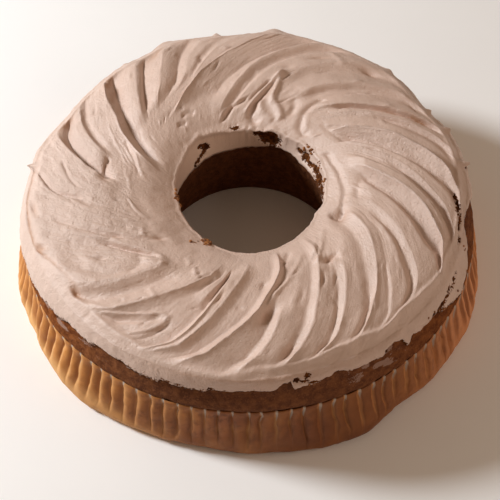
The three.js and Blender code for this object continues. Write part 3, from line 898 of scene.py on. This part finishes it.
# %% A small ball
BALL_RINGS = 5
BALL_SIDES = 8
BALL_CAP = 0.25
ball_turn = np.arange(BALL_SIDES) * 2 * np.pi / BALL_SIDES
ball_tilt = np.linspace(BALL_CAP, np.pi - BALL_CAP, BALL_RINGS)
ball = np.stack([
    np.outer(np.sin(ball_tilt), np.cos(ball_turn)), np.outer(np.sin(ball_tilt), np.sin(ball_turn)),
    np.outer(np.cos(ball_tilt), np.ones(BALL_SIDES))], axis=-1).reshape(-1, 3)
ball_faces = []
for first in range(0, len(ball) - BALL_SIDES, BALL_SIDES):
    for side in range(BALL_SIDES):
        beside = (side + 1) % BALL_SIDES
        below = first + BALL_SIDES
        ball_faces.append((first + side, below + side, below + beside, first + beside))
ball_faces.append(tuple(range(BALL_SIDES)))
ball_faces.append(tuple(reversed(range(len(ball) - BALL_SIDES, len(ball)))))
print("ball:", len(ball), "points,", len(ball_faces), "faces")

# %% [markdown]
# Each place has an azimuth with a spread, a range of rows of the icing's grid, a number of crumbs and
# their size. Seeded draws choose the points and make every crumb a little different.

# %% Crumbs
CRUMB_PLACES = [
    # azimuth, spread in degrees, first and last row, how many, size
    (186, 7, LIP_FROM + 1, LIP_FROM + 8, 20, 1.3), (237, 3, LIP_FROM - 2, LIP_FROM + 3, 12, 2),
    (231, 4, LIP_FROM - 5, LIP_FROM, 5, 1.2), (46, 3, LIP_FROM, LIP_FROM + 6, 3, 1.2),
    (38, 4, LIP_FROM + 1, LIP_FROM + 7, 6, 1.1), (27, 5, LIP_FROM + 2, LIP_FROM + 8, 6, 1.1),
    (12, 6, LIP_FROM + 3, LIP_FROM + 9, 6, 1), (0, 5, LIP_FROM + 3, LIP_FROM + 9, 5, 1),
    (347, 5, 2, 12, 10, 1), (327, 6, 0, 6, 10, 1), (250, 5, 0, 3, 3, 1), (286, 4, 0, 3, 4, 1),
    (210, 8, 0, 3, 5, 1)]
rng = np.random.default_rng(29)
crumb_points = []
crumb_faces = []
for at, spread, first, last, count, scale in CRUMB_PLACES:
    for number in range(count):
        row = rng.integers(first, last + 1)
        aim = at + rng.normal(0, spread / 2)
        column = np.argmin(np.abs(turn_from(azimuth[:, row], aim)))
        size = scale * rng.uniform(0.25, 0.75) * rng.uniform(0.6, 1.2, 3)
        shape = ball * size * rng.uniform(0.75, 1.25, (len(ball), 1))
        offset = len(crumb_points) * len(ball)
        crumb_faces += [tuple(corner + offset for corner in face) for face in ball_faces]
        crumb_points.append(place[column, row] + shape)
mesh = bpy.data.meshes.new("crumbs")
mesh.from_pydata((np.concatenate(crumb_points) * MM).tolist(), [], crumb_faces)
crumbs = bpy.data.objects.new("crumbs", mesh)
scene.collection.objects.link(crumbs)
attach(crumbs, "root")
print(len(crumb_points), "crumbs")

# %% [markdown]
# ## The paper case
# The case is pressed from flat paper, so its wall stands in about a hundred pleats. The profile goes
# out along the base, round the foot, up the wall and back inside it, one paper's thickness away.

# %% Profile of the case
PAPER = 0.45
FLARE = 4
FLARE_HEIGHT = 5
FOOT_CURL = 4
FOOT_STEPS = 8
CASE_STEPS = 30
INSIDE_STEP = 4
CASE_HOLE_RADIUS = 41.3
belly = RIM_RADIUS + FLARE
wall_t = np.linspace(0, 1, CASE_STEPS)
wall = np.stack([
    bend(belly, mix(RIM_RADIUS, belly, 0.72), RIM_RADIUS, wall_t),
    mix(FLARE_HEIGHT, CASE_HEIGHT, wall_t)], axis=1)
foot_t = np.linspace(0, 1, FOOT_STEPS, endpoint=False)
foot = np.stack([
    bend(belly - FOOT_CURL, belly - 0.4, belly, foot_t), bend(0.0, 0.2, FLARE_HEIGHT, foot_t)], axis=1)
inside_foot = belly - FOOT_CURL - PAPER
profile = np.concatenate([
    [(CASE_HOLE_RADIUS, 0)], foot, wall, wall[::-INSIDE_STEP] - (PAPER, 0),
    [(inside_foot, PAPER), (CASE_HOLE_RADIUS, PAPER)]])
print(len(profile), "points in the profile")

# %% [markdown]
# Seeded draws make the pleats unequal in width, and noise lets their edges waver. for_each_pleat()
# draws one number for each pleat and gives it to all the columns of that pleat.

# %% Columns of the case
PLEATS = 104
PLEAT_COLUMNS = 14
PLEAT_SHIFT = 0.14
WAVERING = ((0.4, 5.0, 97), (0.12, 2.0, 98))
rng = np.random.default_rng(17)
pleat_share = np.tile(np.arange(PLEAT_COLUMNS) / PLEAT_COLUMNS, PLEATS)
pleat_number = np.repeat(np.arange(PLEATS), PLEAT_COLUMNS)
pleat_start = (np.arange(PLEATS) + rng.uniform(-PLEAT_SHIFT, PLEAT_SHIFT, PLEATS)) * 360 / PLEATS
pleat_next = np.append(pleat_start[1:], pleat_start[0] + 360)


def for_each_pleat(low, high):
    return rng.uniform(low, high, PLEATS)[pleat_number][:, None]


around = mix(pleat_start[pleat_number], pleat_next[pleat_number], pleat_share)[:, None]
wall_radius, wall_height, spots = spread_profile(profile, around)
around = around + sum(wide * lumps(spots, size, seed) for wide, size, seed in WAVERING)
print(PLEATS, "pleats,", len(around), "columns")

# %% [markdown]
# Each pleat has a raised left edge, a face that falls gently away from it and a groove before the
# next one. The grooves open out near the foot, where the paper is crumpled, and they are pressed flat
# at the rim.

# %% Pleats of the case
PLEAT_DEPTH = 2.0
PRESSED_HEIGHT = 5
SOFT_LEFT = (210, 28)
OPEN_FRONT = [(280, 30, 2)]
OPENED_RIM = [(213, 10, 0.8)]
CRUMPLES = [
    # azimuth, half width in degrees, how far the foot stands out
    (296, 14, 2.4), (309, 6, -2.4), (266, 22, -0.9), (192, 7, 1.1), (204, 3, -0.8), (223, 14, 2.6),
    (347, 13, 1.4)]
CRUMPLE_WANDER = 0.8
CRUMPLE_LUMPS = 0.55
lean = mix(0.5, 0.85, near(around, *SOFT_LEFT))
groove = 1 - np.sin(np.pi * pleat_share[:, None] ** lean) ** 0.8
opens = for_each_pleat(0, 5)
opens = opens + bumps(around, OPEN_FRONT) * for_each_pleat(0, 1)
folded = ease(wall_height, 1.5 + opens, 12 + opens)
fold = PLEAT_DEPTH * for_each_pleat(0.75, 1.1) * groove * folded
pressed = ease(wall_height, CASE_HEIGHT - PRESSED_HEIGHT, CASE_HEIGHT)
fold = mix(fold, 0.2 * fold - 0.4 - bumps(around, OPENED_RIM), pressed)
upright = ease(wall_radius, CASE_HOLE_RADIUS, inside_foot)
low = 1 - ease(wall_height, FLARE_HEIGHT, CASE_HEIGHT)
crumple = (CRUMPLE_WANDER * wander(around, 5.0) + bumps(around, CRUMPLES)) * low
crumple += CRUMPLE_LUMPS * rough_lumps(spots, 9.0, 91) * (0.3 + 0.7 * low)
place = plan((wall_radius - fold + crumple * upright) * narrowed(around), around, wall_height)
print("grooves up to", round(fold.max(), 1), "mm deep")

# %% [markdown]
# The material needs to know where on a pleat a point lies. The highlight strip is a painted highlight
# on the raised edge of each pleat, wide at the left and narrow at the front. The shaded side is painted
# shade on the face turned from the light, which becomes a row of dark ribs at the right, and a painted
# shadow darkens the foot at the front. At the rim each fold opens into a narrow slot.

# %% Masks of the case
STRIP_HIGHLIGHT = 0.85
FOOT_HIGHLIGHT = 0.85
SLOT_WIDTH = 0.56
SLOT_CURVE = 0.7
RIB_DARK = 0.75
FAR_DARK = 0.9
SHADED_FRONT = (280, 46)
HIGHLIGHT_LEFT = (205, 50)
HIGHLIGHT_RIGHT = (322, 30)
RIBS = (342, 22)
FRONT_RIGHT = (300, 28)
FOOT_SHADOW = [(292, 36, 0.85)]
NO_HIGHLIGHT = [(344, 22, 0.95)]
# Painted light: a paler, greyer paper at the right stands in for more fill light.
PAINTED_FILL_PLACE = [(336, 27, 0.85)]
from_fold = (pleat_share - np.round(pleat_share))[:, None] * 2 * np.pi * wall_radius / PLEATS
open_length = for_each_pleat(5.5, 9)
opened = np.clip((wall_height - CASE_HEIGHT + open_length) / open_length, 0, 1)
open_top = SLOT_WIDTH * opened ** SLOT_CURVE - np.abs(from_fold)
# Painted shade: a darker brown on the front of the case, which is turned from the light, with spots of
# soaked fat.
soaked_shade = near(around, *SHADED_FRONT) * (0.9 + 0.35 * rough_lumps(spots, 12.0, 95))
# Painted highlight: a paler strip on the raised edge of each pleat and on the foot at the left.
left_highlight_strip = STRIP_HIGHLIGHT * ease(from_fold, -0.4, 0.1) * (1 - ease(from_fold, 0.6, 3.0)) * folded
left_highlight_strip += FOOT_HIGHLIGHT * (1 - folded)
at_right = near(around, *HIGHLIGHT_RIGHT)
right_highlight_strip = ease(from_fold, mix(-1.0, -1.5, at_right), mix(-0.6, -0.8, at_right))
right_highlight_strip = right_highlight_strip * (1 - ease(from_fold, 0.0, 0.4)) * folded
# Painted shade: darker faces turned from the light, and darker creases round each fold at the right.
ribbed = RIB_DARK * (1 - ease(np.abs(from_fold), 0.5, 1.7))
shaded_side = mix(ease(pleat_share, 0.5, 0.97)[:, None], ribbed, near(around, *RIBS))
shaded_side = mix(shaded_side, FAR_DARK * (1 - right_highlight_strip), near(around, *FRONT_RIGHT)) * folded
# Painted shadow: a darker foot at the front, where the case meets the floor.
shaded_side += (1 - folded) * bumps(around, FOOT_SHADOW)
highlight_strip = mix(right_highlight_strip, left_highlight_strip, near(around, *HIGHLIGHT_LEFT)) * (1 - bumps(around, NO_HIGHLIGHT))
case = ring_piece("paper_case_pleats", place, {
    "highlight_strip": highlight_strip, "shaded_side": shaded_side, "open_top": open_top,
    "soaked_shade": np.clip(soaked_shade, 0, 1), "painted_fill": bumps(around, PAINTED_FILL_PLACE)})
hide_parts("paper_case")

# %% [markdown]
# ## Shader helpers
# put() sets a socket to a constant or links another socket to it. A socket knows its own tree as
# id_data, so the tree need not be named again. add_node() makes a node and puts all its values at
# once, with an underscore for each space in a socket's name. calculate() is a Math node, and layer()
# reads a value that was stored on the points of a mesh.

# %% Node helpers
MIX_FIRST = 6
MIX_SECOND = 7
MIX_RESULT = 2


def put(value, socket):
    if isinstance(value, bpy.types.NodeSocket):
        socket.id_data.links.new(value, socket)
    else:
        socket.default_value = value


def add_node(tree, kind, **values):
    made = tree.nodes.new("ShaderNode" + kind)
    for title, value in values.items():
        socket = title.replace("_", " ")
        if socket in made.inputs:
            put(value, made.inputs[socket])
        else:
            setattr(made, title, value)
    return made


def calculate(operation, *values):
    made = add_node(values[0].id_data, "Math", operation=operation)
    for value, socket in zip(values, made.inputs):
        put(value, socket)
    return made.outputs["Value"]


def layer(tree, name):
    return add_node(tree, "Attribute", attribute_name=name).outputs["Fac"]


def mix_colours(mask, first, second):
    made = add_node(mask.id_data, "Mix", data_type="RGBA", Factor=mask)
    for number, colour in ((MIX_FIRST, first), (MIX_SECOND, second)):
        put(colour + (1,) if isinstance(colour, tuple) else colour, made.inputs[number])
    return made.outputs[MIX_RESULT]


# %% [markdown]
# Three effects are shared, so they are node groups with a position and a few numbers as inputs. The
# first makes patches of uneven tone: noise, sharpened between a low and a high level.

# %% Group for uneven patches
def new_group(name, numbers, result):
    tree = bpy.data.node_groups.new(name, "ShaderNodeTree")
    tree.interface.new_socket("Position", in_out="INPUT", socket_type="NodeSocketVector")
    for title, value in numbers.items():
        socket = tree.interface.new_socket(title, in_out="INPUT", socket_type="NodeSocketFloat")
        socket.default_value = value
    tree.interface.new_socket(result, in_out="OUTPUT", socket_type="NodeSocketFloat")
    return tree, tree.nodes.new("NodeGroupInput").outputs, tree.nodes.new("NodeGroupOutput").inputs


patches, given, result = new_group("uneven patches", {"Size": 0.1, "Low": 0.4, "High": 0.6}, "Mask")
noise = add_node(
    patches, "TexNoise", Vector=given["Position"], Scale=given["Size"], Detail=4.0, Roughness=0.6)
sharpened = add_node(
    patches, "MapRange", interpolation_type="SMOOTHSTEP", Value=noise.outputs["Fac"],
    From_Min=given["Low"], From_Max=given["High"])
put(sharpened.outputs["Result"], result["Mask"])


def uneven(position, **values):
    made = add_node(position.id_data, "Group", node_tree=patches, Position=position, **values)
    return made.outputs["Mask"]


print(patches.name, len(patches.nodes), "nodes")

# %% [markdown]
# The second group is a fine grain for bumps: noise plus the small round pits that bubbles leave.

# %% Group for fine grain
grain, given, result = new_group("fine grain", {"Grain": 2.0, "Pits": 0.5, "Pit Depth": 0.5}, "Height")
noise = add_node(
    grain, "TexNoise", Vector=given["Position"], Scale=given["Grain"], Detail=4.0, Roughness=0.75)
cells = add_node(grain, "TexVoronoi", feature="F1", Vector=given["Position"], Scale=given["Pits"])
pit = add_node(
    grain, "MapRange", interpolation_type="SMOOTHSTEP", Value=cells.outputs["Distance"],
    From_Min=0.05, From_Max=0.25)
pit_depth = calculate("MULTIPLY", pit.outputs["Result"], given["Pit Depth"])
put(calculate("ADD", noise.outputs["Fac"], pit_depth), result["Height"])


def grain_height(position, **values):
    made = add_node(position.id_data, "Group", node_tree=grain, Position=position, **values)
    return made.outputs["Height"]


print(grain.name, len(grain.nodes), "nodes")

# %% [markdown]
# The third group frays the outline of a mask that is stored on the points: it adds noise to the value
# and cuts it off sharply at one half.

# %% Group for frayed masks
frayed_mask, given, result = new_group("frayed mask", {"Value": 0.0, "Size": 1.3, "Fray": 1.4}, "Mask")
noise = add_node(
    frayed_mask, "TexNoise", Vector=given["Position"], Scale=given["Size"], Detail=4.0,
    Roughness=0.6)
centred = calculate("SUBTRACT", noise.outputs["Fac"], 0.5)
torn = calculate("MULTIPLY_ADD", centred, given["Fray"], given["Value"])
cut = add_node(
    frayed_mask, "MapRange", interpolation_type="SMOOTHSTEP", Value=torn, From_Min=0.42,
    From_Max=0.58)
put(cut.outputs["Result"], result["Mask"])


def fray(position, name, **values):
    tree = position.id_data
    made = add_node(
        tree, "Group", node_tree=frayed_mask, Position=position, Value=layer(tree, name), **values)
    return made.outputs["Mask"]


print(frayed_mask.name, len(frayed_mask.nodes), "nodes")

# %% [markdown]
# All the materials read one position in millimetres. new_material() starts a material with its
# Principled shader, add_bump() turns a height into bumps, and dress() puts the material on a piece.

# %% Material helpers
def new_material(name, **values):
    material = bpy.data.materials.new(name)
    material.use_nodes = True
    tree = material.node_tree
    tree.nodes.clear()
    surface = add_node(tree, "BsdfPrincipled", **values)
    add_node(tree, "OutputMaterial", Surface=surface.outputs["BSDF"])
    where = tree.nodes.new("ShaderNodeTexCoord")
    scaled = add_node(
        tree, "VectorMath", operation="SCALE", Vector=where.outputs["Object"], Scale=1 / MM)
    return material, tree, surface, scaled.outputs["Vector"]


def add_bump(surface, height, strength, distance):
    made = add_node(surface.id_data, "Bump", Strength=strength, Distance=distance, Height=height)
    put(made.outputs["Normal"], surface.inputs["Normal"])


def dress(piece, material, surface, colour):
    put(colour, surface.inputs["Base Color"])
    piece.data.materials.append(material)
    print(material.name, len(material.node_tree.nodes), "nodes")


# %% [markdown]
# ## Icing material
# Whipped coffee icing is pale pinkish brown and lets a little light in, so it gets some subsurface
# scattering. Slow patches vary its tone. Stains and painted shade darken it, the sheet in the hole
# is paler with painted light, and bare spots show the dull brown crust, with near-black patches of
# painted shade.

# %% Icing colours
ICING = (0.615, 0.442, 0.358)
PALE_ICING = (0.665, 0.482, 0.394)
STAINED_AND_SHADED = (0.42, 0.21, 0.11)
SHEET_PAINTED_LIGHT = (0.88, 0.67, 0.55)
BARE_POCKET_SHADE = (0.05, 0.015, 0.005)
BARE_BROWN = (0.15, 0.048, 0.013)
material, tree, surface, position = new_material(
    "coffee icing", Subsurface_Weight=0.03, Subsurface_Radius=(1.0, 0.6, 0.4), Subsurface_Scale=1.2 * MM)
colour = mix_colours(uneven(position, Size=0.06, Low=0.35, High=0.65), ICING, PALE_ICING)
# This brown is partly a real tint from the crust and partly painted shade.
colour = mix_colours(layer(tree, "stain_and_shade"), colour, STAINED_AND_SHADED)
# Painted light: the paler colour on the sheet in the hole.
colour = mix_colours(layer(tree, "sheet_light"), colour, SHEET_PAINTED_LIGHT)
# The brown tone is the bare crust. The near-black patches are painted shade that stands for deep torn
# pockets.
bare_colour = mix_colours(uneven(position, Size=0.5, Low=0.42, High=0.62), BARE_POCKET_SHADE, BARE_BROWN)
bare_mask = fray(position, "bare", Size=1.0, Fray=1.9)
colour = mix_colours(bare_mask, colour, bare_colour)
dull = add_node(tree, "MapRange", Value=bare_mask, To_Min=0.45, To_Max=0.95)
put(dull.outputs["Result"], surface.inputs["Roughness"])
sheen = add_node(tree, "MapRange", Value=bare_mask, To_Min=0.8, To_Max=0.05)
put(sheen.outputs["Result"], surface.inputs["Specular IOR Level"])
print("icing colours:", len(tree.nodes), "nodes")

# %% [markdown]
# Bubbles and grain go into the bump, stronger in the grainy places. Fine drag lines follow the
# strokes, because their noise reads the stored drag position instead of the plain one.

# %% Icing bumps
texture = grain_height(position, Grain=0.9, Pits=0.4, Pit_Depth=0.3)
rougher = calculate("MULTIPLY_ADD", layer(tree, "grainy"), 0.9, 0.7)
grained = calculate("MULTIPLY", texture, rougher)
along_strokes = add_node(tree, "Attribute", attribute_name="drag").outputs["Vector"]
streaks = add_node(tree, "TexNoise", Vector=along_strokes, Scale=1.6, Detail=3.0)
streaked = calculate("MULTIPLY_ADD", streaks.outputs["Fac"], 0.35, grained)
add_bump(surface, streaked, strength=0.85, distance=0.42 * MM)
dress(icing, material, surface, colour)

# %% [markdown]
# ## Crust material
# The crust is browned by baking: dark brown at the front and in the hole. The redder, lighter golden
# tone at the left and right is painted light. Patches and a fine speckle make it uneven, and smears
# of icing lie on it.

# %% Crust material
CRUST_DARK = (0.1, 0.0355, 0.017)
CRUST_BROWN = (0.178, 0.066, 0.027)
CRUST_SPECKLE = (0.23, 0.088, 0.036)
GOLDEN_DARK = (0.12, 0.03, 0.0065)
GOLDEN_BROWN = (0.26, 0.084, 0.022)
GOLDEN_SPECKLE = (0.33, 0.108, 0.027)
SMEARED = (0.30, 0.18, 0.135)
material, tree, surface, position = new_material("browned crust", Roughness=0.8, Specular_IOR_Level=0.05)
tone = uneven(position, Size=0.35, Low=0.35, High=0.7)
speckle = uneven(position, Size=1.5, Low=0.5, High=0.75)
browned = mix_colours(speckle, mix_colours(tone, CRUST_DARK, CRUST_BROWN), CRUST_SPECKLE)
golden = mix_colours(speckle, mix_colours(tone, GOLDEN_DARK, GOLDEN_BROWN), GOLDEN_SPECKLE)
# The golden mix is painted light.
colour = mix_colours(layer(tree, "golden"), browned, golden)
colour = mix_colours(fray(position, "smear", Size=2.0), colour, SMEARED)
texture = grain_height(position, Grain=0.8, Pits=0.5)
add_bump(surface, texture, strength=0.8, distance=0.4 * MM)
dress(sponge, material, surface, colour)

# %% [markdown]
# The crumbs are pieces of the same crust, some dark and some golden.

# %% Crumb material
CRUMB_DARK = (0.12, 0.037, 0.012)
CRUMB_GOLDEN = (0.40, 0.155, 0.038)
material, tree, surface, position = new_material("crumb", Roughness=0.8)
colour = mix_colours(uneven(position, Size=0.5, Low=0.35, High=0.65), CRUMB_DARK, CRUMB_GOLDEN)
dress(crumbs, material, surface, colour)

# %% [markdown]
# ## Paper material
# Greaseproof paper turns golden brown in the oven and is spotted where fat has soaked in. The darker
# brown at the front is painted shade on the side turned from the light, and the paler, greyer tone at
# the right is painted light for the fill. Each of these tones has its own colour for the plain face
# of a pleat, for its painted shade side and for its painted highlight strip. At their tops the folds
# open into small pale slots.

# %% Paper material
PAPER_DARK = (0.45, 0.167, 0.034)
PAPER_GOLDEN = (0.64, 0.262, 0.062)
SOAKED_SHADE_DARK = (0.21, 0.067, 0.021)
SOAKED_SHADE_BROWN = (0.31, 0.105, 0.036)
SOAKED_SPOT = (0.13, 0.038, 0.011)
# Painted light for the fill at the right of the case.
PLAIN_PAINTED_FILL = (0.76, 0.318, 0.14)
# Painted shade colours for the faces turned from the light.
SHADED_SIDE_COLOURS = [(0.33, 0.116, 0.024), (0.15, 0.047, 0.014), (0.19, 0.066, 0.028)]
# Painted highlight colours for the pleat edges.
HIGHLIGHT_EDGE = [(0.76, 0.43, 0.165), (0.34, 0.12, 0.036), (0.44, 0.16, 0.055)]
SLOT = (0.43, 0.33, 0.26)
material, tree, surface, position = new_material("browned paper", Roughness=0.6, Specular_IOR_Level=0.25)
soaked_shade = layer(tree, "soaked_shade")
painted_fill = layer(tree, "painted_fill")
tone = uneven(position, Size=0.09, Low=0.35, High=0.7)
golden = mix_colours(tone, PAPER_DARK, PAPER_GOLDEN)
# The soaked colours are painted shade at the front, with real fat spots.
browned = mix_colours(tone, SOAKED_SHADE_DARK, SOAKED_SHADE_BROWN)
# The mix at the right is painted light.
colour = mix_colours(painted_fill, mix_colours(soaked_shade, golden, browned), PLAIN_PAINTED_FILL)
spotted = uneven(position, Size=0.28, Low=0.45, High=0.7)
colour = mix_colours(calculate("MULTIPLY", spotted, soaked_shade), colour, SOAKED_SPOT)
for name, (plain, brown, grey) in (("shaded_side", SHADED_SIDE_COLOURS), ("highlight_strip", HIGHLIGHT_EDGE)):
    own_colour = mix_colours(painted_fill, mix_colours(soaked_shade, plain, brown), grey)
    colour = mix_colours(layer(tree, name), colour, own_colour)
opened = add_node(
    tree, "MapRange", Value=layer(tree, "open_top"), From_Min=-0.05, From_Max=0.15)
colour = mix_colours(opened.outputs["Result"], colour, SLOT)
texture = grain_height(position, Grain=1.2, Pits=0.3)
add_bump(surface, texture, strength=0.4, distance=0.15 * MM)
dress(case, material, surface, colour)

# %% [markdown]
# ## Floor
# A plain pale floor catches the soft shadow and gives the shaded front some light back.

# %% Floor
FLOOR_SIZE = 6
FLOOR_GREY = (0.93, 0.92, 0.91)
FLOOR_PALE = (0.95, 0.94, 0.93)
bpy.ops.mesh.primitive_plane_add(size=FLOOR_SIZE)
floor = bpy.context.object
floor.name = "floor"
material, tree, surface, position = new_material("pale floor", Roughness=0.8)
colour = mix_colours(uneven(position, Size=0.01, Low=0.3, High=0.7), FLOOR_GREY, FLOOR_PALE)
dress(floor, material, surface, colour)
